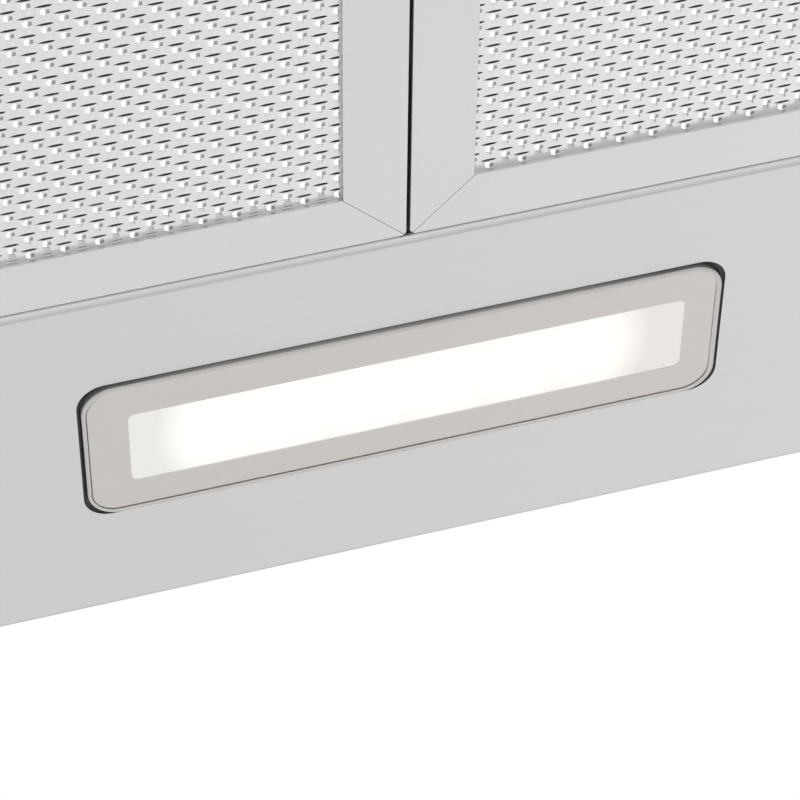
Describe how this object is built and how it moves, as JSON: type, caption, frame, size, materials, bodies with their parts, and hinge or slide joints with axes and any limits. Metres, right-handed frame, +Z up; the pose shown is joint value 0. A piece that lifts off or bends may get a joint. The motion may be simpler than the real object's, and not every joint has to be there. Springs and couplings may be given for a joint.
{
  "type": "wall mount range hood",
  "caption": "Pyramid range hood that hangs on a wall over a hob: mesh grease filters, lamp strip, push keys, blower with backdraft damper and telescoping chimney.",
  "frame": {"origin": "on the wall plane at mid width, level with the underside of the base tray; the wall_face mount's point is 4 mm above it, on the back panel's lower edge", "axes": "+X to the right seen from the front, +Y towards the wall, +Z up"},
  "size_m": [0.598, 0.5044, 0.9054],
  "materials": {
    "stainless": "fine brushed stainless sheet",
    "galvanised": "plain galvanised sheet",
    "filter_aluminium": "satin aluminium",
    "mesh_aluminium": "bright expanded aluminium",
    "screw_steel": "bright zinc plated",
    "clear_plastic": "clear moulded cover",
    "silver_mask": "silver brushed film",
    "opal": "opal diffuser",
    "board": "white coated board",
    "led": "phosphor coated chip",
    "black_plastic": "black moulded plastic",
    "button_steel": "satin plated key",
    "grey_plastic": "grey moulded plastic",
    "motor_paint": "grey painted motor shell",
    "rubber": "black rubber",
    "capacitor_can": "drawn can",
    "shaft_steel": "ground steel"
  },
  "bodies": {
    "hood": {"back_panel": "galvanised", "back_screws": "screw_steel", "base_tray": "stainless", "blower_housing": "galvanised", "button_bezel": "black_plastic", "cable_gland": "black_plastic", "canopy_front": "stainless", "canopy_left": "stainless", "canopy_right": "stainless", "canopy_top": "galvanised", "capacitor": "capacitor_can", "capacitor_strap": "galvanised", "chimney_lower": "stainless", "chimney_screws": "screw_steel", "collar_screws": "screw_steel", "damper_axle": "shaft_steel", "inlet_rings": "black_plastic", "junction_box": "grey_plastic", "junction_box_lid": "grey_plastic", "lamp_cover": "clear_plastic", "lamp_diffuser": "opal", "lamp_housing": "black_plastic", "lamp_mask": "silver_mask", "lamp_screws": "screw_steel", "led_board": "board", "leds": "led", "motor": "motor_paint", "motor_bracket": "galvanised", "motor_grommets": "rubber", "motor_screws": "screw_steel", "outlet_collar": "galvanised", "switch_block": "black_plastic"},
    "wheel": {"impeller": "galvanised", "motor_shaft": "shaft_steel"},
    "upper_chimney": {"chimney_upper": "stainless", "chimney_bracket": "galvanised", "bracket_screws": "screw_steel"},
    "flap_front": {"damper_flap_front": "galvanised"},
    "flap_back": {"damper_flap_back": "galvanised"},
    "filter_left": {"filter_left_frame": "filter_aluminium", "filter_left_front_mesh": "mesh_aluminium", "filter_left_core": "mesh_aluminium", "filter_left_back_mesh": "mesh_aluminium", "filter_left_tongues": "screw_steel"},
    "latch_left": {"filter_left_latch": "black_plastic"},
    "filter_right": {"filter_right_frame": "filter_aluminium", "filter_right_front_mesh": "mesh_aluminium", "filter_right_core": "mesh_aluminium", "filter_right_back_mesh": "mesh_aluminium", "filter_right_tongues": "screw_steel"},
    "latch_right": {"filter_right_latch": "black_plastic"},
    "key_1": {"button_1": "button_steel"},
    "key_2": {"button_2": "button_steel"},
    "key_3": {"button_3": "button_steel"},
    "key_4": {"button_4": "button_steel"},
    "key_5": {"button_5": "button_steel"}
  },
  "joints": [
    {"name": "impeller_spin", "type": "hinge", "parent": "hood", "child": "wheel", "pos_m": [0, -0.143, 0.1402], "axis": [1, 0, 0], "continuous": true},
    {"name": "chimney_slide", "type": "slide", "parent": "hood", "child": "upper_chimney", "axis": [0, 0, 1], "range_m": [-0.225, 0.11]},
    {"name": "damper_front_swing", "type": "hinge", "parent": "hood", "child": "flap_front", "pos_m": [0, -0.12, 0.2727], "axis": [-1, 0, 0], "range_deg": [0, 75]},
    {"name": "damper_back_swing", "type": "hinge", "parent": "hood", "child": "flap_back", "pos_m": [0, -0.12, 0.2727], "axis": [1, 0, 0], "range_deg": [0, 75]},
    {"name": "filter_left_swing", "type": "hinge", "parent": "hood", "child": "filter_left", "pos_m": [-0.1305, -0.1415, 0.0025], "axis": [1, 0, 0], "range_deg": [0, 60]},
    {"name": "latch_left_slide", "type": "slide", "parent": "filter_left", "child": "latch_left", "axis": [0, -1, 0], "range_m": [-0.003, 0.003], "stiffness_N_per_m": 300},
    {"name": "filter_right_swing", "type": "hinge", "parent": "hood", "child": "filter_right", "pos_m": [0.1305, -0.1415, 0.0025], "axis": [1, 0, 0], "range_deg": [0, 60]},
    {"name": "latch_right_slide", "type": "slide", "parent": "filter_right", "child": "latch_right", "axis": [0, -1, 0], "range_m": [-0.003, 0.003], "stiffness_N_per_m": 300},
    {"name": "key_1_press", "type": "slide", "parent": "hood", "child": "key_1", "axis": [0, 1, 0], "range_m": [0, 0.0025], "stiffness_N_per_m": 400},
    {"name": "key_2_press", "type": "slide", "parent": "hood", "child": "key_2", "axis": [0, 1, 0], "range_m": [0, 0.0025], "stiffness_N_per_m": 400},
    {"name": "key_3_press", "type": "slide", "parent": "hood", "child": "key_3", "axis": [0, 1, 0], "range_m": [0, 0.0025], "stiffness_N_per_m": 400},
    {"name": "key_4_press", "type": "slide", "parent": "hood", "child": "key_4", "axis": [0, 1, 0], "range_m": [0, 0.0025], "stiffness_N_per_m": 400},
    {"name": "key_5_press", "type": "slide", "parent": "hood", "child": "key_5", "axis": [0, 1, 0], "range_m": [0, 0.0025], "stiffness_N_per_m": 400}
  ]
}
